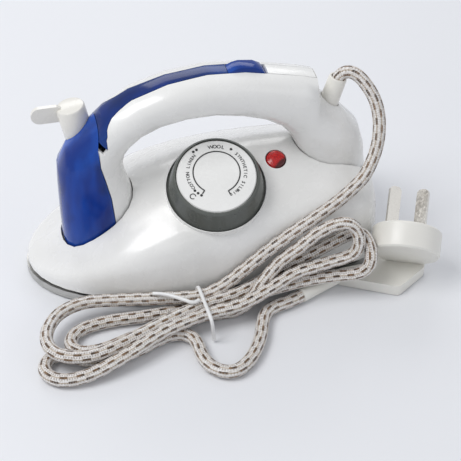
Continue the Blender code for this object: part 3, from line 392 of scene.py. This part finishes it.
def sweep(route, radius, sides, ribs=0.0):
    """A closed tube along a route; its UVs are (length in metres, share of a turn)."""
    bm = bmesh.new()
    uv = bm.loops.layers.uv.new("UVMap")
    rings, far, previous = [], 0.0, None
    side = None
    for i, point in enumerate(route):
        ahead = route[min(i + 1, len(route) - 1)] - route[max(i - 1, 0)]
        ahead.normalize()
        if side is None:
            side = ahead.orthogonal().normalized()
        side = (side - ahead * side.dot(ahead)).normalized()
        up = ahead.cross(side)
        if previous is not None:
            far += (point - previous).length
        previous = point
        swell = radius * (1 + ribs * (1 if i % 2 else -1))
        ring = []
        for k in range(sides):
            angle = 2 * math.pi * k / sides
            ring.append(bm.verts.new(point + (side * math.cos(angle) + up * math.sin(angle)) * swell))
        rings.append((ring, far))
    for (a, a_far), (b, b_far) in zip(rings, rings[1:]):
        for k in range(sides):
            n = (k + 1) % sides
            face = bm.faces.new((a[k], a[n], b[n], b[k]))
            shares = ((a_far, k), (a_far, k + 1), (b_far, k + 1), (b_far, k))
            for loop, (u, turn) in zip(face.loops, shares):
                loop[uv].uv = (u, turn / sides)
    bm.faces.new(list(reversed(rings[0][0])))
    bm.faces.new(rings[-1][0])
    return bm


# ---------------------------------------------------------------- lead

CORD_RADIUS = 3.15
CORD_STEP = 0.0011
RIB_SHARE = 0.012
TIE_RADIUS = 0.9
TIE_STEP = 0.0008
# Out of the sleeve, over and down the near flank, into the hank.
LEAD = [(67.3, 0, 80.3), (69.4, 0, 87.2), (71.4, -0.2, 92.4), (73.4, -0.8, 94.5), (76.1, -1.8, 94.9),
        (79.3, -3.5, 93.4), (82.6, -6.5, 89.7), (85.7, -10.5, 84.4), (87.1, -14.5, 78.2), (86.8, -18.5, 71.7),
        (85.0, -22.4, 64.4), (81.4, -26.0, 57.4), (77.0, -29.2, 51.9), (70.6, -32.4, 48.3),
        (61.2, -37.4, 45.3), (50.4, -41.2, 41.6), (37.9, -43.9, 36.0), (26.4, -45.4, 29.2),
        (14.0, -46.6, 20.0)]
# First run towards the nose on top of the hank, its end turn, and back under the tie.
OUTER_TURN = [(3.0, -47.8, 12.6), (-9.0, -49.4, 10.1), (-27.5, -46.8, 9.9), (-46.3, -43.6, 9.9),
              (-63.1, -41.6, 9.9), (-75.9, -46.6, 9.9), (-83.1, -57.5, 9.9), (-83.3, -68.1, 9.9),
              (-77.1, -75.4, 9.9), (-64.0, -77.4, 9.9), (-46.6, -71.3, 9.9), (-28.0, -63.0, 9.9),
              (-9.0, -56.0, 9.9), (8.0, -52.2, 9.9)]
LOWER_LOOP = [(22.0, -48.4, 12.6), (34.0, -45.4, 16.8), (47.0, -44.9, 21.8), (57.2, -43.7, 25.6),
              (64.3, -42.9, 28.0), (69.6, -43.0, 29.8), (73.0, -45.4, 29.8), (74.6, -49.8, 28.0),
              (74.7, -55.0, 23.6), (72.6, -57.2, 18.4), (67.3, -56.0, 14.8), (58.3, -53.2, 13.0),
              (44.0, -51.8, 11.8), (26.5, -52.0, 9.6)]
# Second run under the first, round inside the outer turn, and back.
INNER_TURN = [(10.0, -50.2, 4.6), (-9.0, -49.6, 3.6), (-34.1, -50.6, 3.5), (-53.1, -50.2, 3.5),
              (-67.0, -53.0, 3.5), (-73.2, -60.4, 3.5), (-69.6, -67.6, 3.5), (-58.0, -68.0, 3.5),
              (-34.0, -60.4, 3.5),
              (-9.0, -56.4, 3.6), (10.0, -56.6, 4.6)]
UPPER_LOOP = [(22.0, -52.4, 16.0), (31.0, -48.8, 23.6), (41.0, -48.2, 30.4), (48.3, -47.5, 36.0),
              (56.5, -47.2, 39.8), (63.5, -47.7, 40.6), (67.8, -48.9, 37.5), (69.3, -50.8, 32.6),
              (68.4, -52.2, 27.4), (65.5, -52.8, 24.2), (56.3, -51.6, 21.2), (46.0, -52.0, 19.6),
              (37.0, -52.6, 18.0), (24.0, -56.6, 14.2)]
# Third run along the outer edge, its turn, back under the tie and out as the slack loop on the floor.
EDGE_TURN = [(8.0, -60.8, 10.6), (-9.0, -62.4, 9.9), (-30.0, -69.4, 9.9), (-48.3, -78.4, 8.2),
             (-66.0, -84.2, 5.0), (-79.5, -84.0, 3.6), (-86.6, -78.0, 3.5), (-85.6, -70.6, 3.5),
             (-78.0, -67.4, 3.5), (-62.0, -75.6, 3.5), (-44.0, -72.6, 3.5), (-33.0, -67.8, 3.5),
             (-26.0, -65.8, 3.5), (-20.2, -66.6, 3.5)]
SLACK_LOOP = [(-16.2, -70.4, 3.5), (-14.9, -76.0, 3.5), (-14.7, -82.0, 3.5), (-12.6, -89.2, 3.5),
              (-7.6, -94.6, 3.5),
              (-0.6, -95.4, 3.5), (7.8, -88.4, 3.5), (14.4, -77.4, 3.5), (17.6, -68.6, 3.5)]
TAIL = [(20.6, -62.0, 3.6), (25.6, -58.2, 3.6), (31.0, -57.0, 3.6), (38.5, -54.6, 3.6), (43.0, -52.7, 4.0)]
TIE = [(-6.5, -71.6, 1.3), (-7.0, -71.6, 7.0), (-7.3, -71.5, 12.0), (-7.8, -69.4, 14.6), (-8.4, -58.0, 14.6),
       (-8.9, -48.4, 14.5), (-9.2, -46.2, 12.6), (-9.3, -45.4, 7.0), (-9.2, -45.2, 1.3)]
TIE_END = [(-31.0, -47.6, 14.6), (-25.0, -50.4, 15.2), (-18.0, -55.4, 15.2), (-13.5, -58.6, 14.6),
           (-10.6, -57.0, 14.7)]


def make_cord(finish, tie_finish):
    stretches = (LEAD, OUTER_TURN, LOWER_LOOP, INNER_TURN, UPPER_LOOP, EDGE_TURN, SLACK_LOOP, TAIL)
    route, length = smooth_route([p for stretch in stretches for p in stretch], CORD_STEP)
    cord = link("mains_cord", sweep(route, CORD_RADIUS * MM, 20, RIB_SHARE), finish, 60.0)
    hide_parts("cord_lead", "cord_hank", "cord_loop_upper", "cord_loop_lower", "cord_loop_slack",
                "cord_tail")
    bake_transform(cord)
    for name, points in (("cord_tie", TIE), ("cord_tie_end", TIE_END)):
        line, _ = smooth_route(points, TIE_STEP)
        tie = link(name + "_wire", sweep(line, TIE_RADIUS * MM, 12), tie_finish, 60.0)
        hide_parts(name)
        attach(tie, "base")


# ---------------------------------------------------------------- carried-over nodes

WELD_REACH = 0.000002
LOFTED_ANGLE, PLAIN_ANGLE = math.radians(44), math.radians(32)
LOFTED = ("body_shell", "handle_shell_near", "handle_shell_far", "handle_strip", "handle_top_cap",
          "water_tank")


def finish_nodes(finishes):
    """Every CAD node that stays in view gets its slot's finish and smooth shading."""
    slots = {row["node"]: row["material_slot"] for row in frame["record"]["subparts"]}
    for name, node in NODES.items():
        node.data.shade_smooth()
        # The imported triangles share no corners, so they are welded first and split again at true edges.
        weld = node.modifiers.new("weld", "WELD")
        weld.merge_threshold = WELD_REACH
        edges = node.modifiers.new("edges", "EDGE_SPLIT")
        edges.split_angle = LOFTED_ANGLE if name in LOFTED else PLAIN_ANGLE
        node.data.materials.clear()
        node.data.materials.append(finishes[slots[name]])
    NODES["handle_strip"].data.materials[0] = tank_blue("strip_blue", STRIP_DEEP, STRIP_BRIGHT)


def make_spring(finish):
    """The button's spring, as a welded copy carried on the handle."""
    bm = bmesh.new()
    bm.from_mesh(NODES["button_spring"].data)
    bmesh.ops.remove_doubles(bm, verts=bm.verts, dist=WELD_REACH)
    coil = link("button_spring_coil", bm, finish)
    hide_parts("button_spring")
    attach(coil, "handle")
    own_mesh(coil)


# ---------------------------------------------------------------- print on the dial

DIAL_BASE = Vector((0.0065, -0.0184, 0.0485))
DIAL_TILT, DIAL_LEAN = math.radians(25), math.radians(4)
DIAL_AXIS = Vector((-math.sin(DIAL_LEAN), -math.sin(DIAL_TILT), math.cos(DIAL_TILT))).normalized()
# Height of the dial's face over its base along the axis, and a hair of clearance for the print.
DIAL_TOP = 0.0143 + 0.00005


def dial_plane():
    """Matrix that carries the flat print onto the dial's face, with its top away from the viewer."""
    across = Vector((math.cos(VIEW_AZIMUTH), math.sin(VIEW_AZIMUTH), 0))
    across = (across - DIAL_AXIS * across.dot(DIAL_AXIS)).normalized()
    up = DIAL_AXIS.cross(across)
    turned = Matrix((across, up, DIAL_AXIS)).transposed().to_4x4()
    return Matrix.Translation(DIAL_BASE + DIAL_AXIS * DIAL_TOP + up * PRINT_RISE) @ turned


def ring_stroke(bm, radius, width, start, end, steps=64):
    """A flat stroke along an arc, from one angle in degrees to another."""
    inner, outer = [], []
    for k in range(steps + 1):
        angle = math.radians(start + (end - start) * k / steps)
        for store, r in ((inner, radius - width / 2), (outer, radius + width / 2)):
            store.append(bm.verts.new((r * math.cos(angle), r * math.sin(angle), 0)))
    for k in range(steps):
        bm.faces.new((inner[k], outer[k], outer[k + 1], inner[k + 1]))


def dot(bm, x, y, radius):
    bmesh.ops.create_circle(bm, cap_ends=True, segments=20, radius=radius,
                            matrix=Matrix.Translation((x, y, 0)))


def raise_print(bm, height=0.00006):
    """Give flat print a real thickness, so that it is a closed film."""
    faces = list(bm.faces)
    grown = bmesh.ops.extrude_face_region(bm, geom=faces)
    verts = [v for v in grown["geom"] if isinstance(v, bmesh.types.BMVert)]
    bmesh.ops.translate(bm, verts=verts, vec=(0, 0, height))


ARC_RADIUS = 0.0111
ARC_ENDS = (-60, 240)
STROKE = 0.00060
TICK_LENGTH = 0.0021
DOT_RADIUS = 0.00066
MARK_RADIUS, MARK_STROKE = 0.0013, 0.00045
WORD_RADIUS = 0.0136
PRINT_RISE = 0.0018
LETTER_ADVANCE = 0.74
LETTER_RELIEF = 0.00003
# Word, middle of its arc in degrees, letter size.
WORDS = (("WOOL", 90, 0.0026), ("SYNTHETIC SILK", 2, 0.0022), ("COTTON LINEN", 180, 0.0022),
         ("min", -52, 0.0024))
DOTS = ((6.8, 12.4), (-11.1, 10.7), (-9.6, 11.8), (-10.1, -9.8), (-8.6, -11.1), (-7.0, -12.2))
STEAM_MARK = (-0.0110, -0.0128)


def make_dial_print(ink):
    bm = bmesh.new()
    ring_stroke(bm, ARC_RADIUS, STROKE, *ARC_ENDS)
    for angle in ARC_ENDS:
        a = math.radians(angle)
        across = Vector((-math.sin(a), math.cos(a), 0)) * STROKE / 2
        out = Vector((math.cos(a), math.sin(a), 0))
        near, far = out * ARC_RADIUS, out * (ARC_RADIUS + TICK_LENGTH)
        bm.faces.new([bm.verts.new(c) for c in (near - across, far - across, far + across, near + across)])
    for x, y in DOTS:
        dot(bm, x * MM, y * MM, DOT_RADIUS)
    mark = bmesh.new()
    ring_stroke(mark, MARK_RADIUS, MARK_STROKE, 0, 300, 24)
    bmesh.ops.translate(mark, verts=mark.verts, vec=(*STEAM_MARK, 0))
    spare = bpy.data.meshes.new("steam_mark")
    mark.to_mesh(spare)
    mark.free()
    bm.from_mesh(spare)
    raise_print(bm)
    bmesh.ops.transform(bm, matrix=dial_plane(), verts=bm.verts)
    marks = link("dial_marks", bm, ink, 30.0)
    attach(marks, "dial")
    for text, middle, size in WORDS:
        make_arc_word(text, math.radians(middle), size, ink)


def make_arc_word(text, middle, size, ink):
    """Letters set one by one round the dial, reading clockwise."""
    step = size * LETTER_ADVANCE / WORD_RADIUS
    flat = dial_plane()
    made = []
    for k, letter in enumerate(text):
        if letter == " ":
            continue
        angle = middle - (k - (len(text) - 1) / 2) * step
        data = bpy.data.curves.new("letter", "FONT")
        data.body = letter
        data.size = size
        data.align_x = "CENTER"
        data.align_y = "CENTER"
        data.extrude = LETTER_RELIEF
        data.offset = 0.00004
        data.resolution_u = 3
        glyph = bpy.data.objects.new("letter", data)
        bpy.context.scene.collection.objects.link(glyph)
        across, up = WORD_RADIUS * math.cos(angle), WORD_RADIUS * math.sin(angle)
        spot = Matrix.Translation((across, up, LETTER_RELIEF))
        glyph.matrix_world = flat @ spot @ Matrix.Rotation(angle - math.pi / 2, 4, "Z")
        made.append(glyph)
    bpy.context.view_layer.update()
    bm = bmesh.new()
    for glyph in made:
        mesh = bpy.data.meshes.new_from_object(glyph.evaluated_get(bpy.context.evaluated_depsgraph_get()))
        mesh.transform(glyph.matrix_world)
        bm.from_mesh(mesh)
    for glyph in made:
        bpy.data.objects.remove(glyph, do_unlink=True)
    bmesh.ops.remove_doubles(bm, verts=bm.verts, dist=1e-7)
    word = link("dial_word_" + text.split()[0].lower(), bm, ink, 30.0)
    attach(word, "dial")


# ---------------------------------------------------------------- stage

def area_light(name, place, size, watts, aim=(0.0, 0.0, 0.03), tint=(1.0, 1.0, 1.0)):
    data = bpy.data.lights.new(name, "AREA")
    data.shape = "RECTANGLE"
    data.size, data.size_y = size
    data.energy = watts
    data.color = tint
    lamp = bpy.data.objects.new(name, data)
    bpy.context.scene.collection.objects.link(lamp)
    lamp.location = place
    lamp.rotation_euler = (Vector(aim) - Vector(place)).to_track_quat("-Z", "Y").to_euler()


def make_stage():
    bm = bmesh.new()
    bmesh.ops.create_grid(bm, x_segments=8, y_segments=8, size=3.0)
    floor = link("floor", bm, floor_white())
    floor.location.z = -0.0001
    world = bpy.data.worlds.new("studio")
    bpy.context.scene.world = world
    world.use_nodes = True
    sky = world.node_tree.nodes["Background"]
    sky.inputs["Color"].default_value = (0.93, 0.95, 1.0, 1.0)
    sky.inputs["Strength"].default_value = 0.52
    area_light("key", (-0.55, -0.10, 0.95), (0.6, 0.5), 5.6)
    area_light("fill", (0.75, -0.65, 0.55), (0.8, 0.6), 0.7)
    area_light("rim", (0.15, 0.85, 0.65), (0.9, 0.35), 2.4)
    bpy.context.scene.view_settings.view_transform = "Standard"


make_camera()
FINISHES = make_finishes()
make_cord(FINISHES["braid"], FINISHES["tie"])
finish_nodes(FINISHES)
make_spring(FINISHES["spring_steel"])
make_dial_print(ink_black())
make_stage()
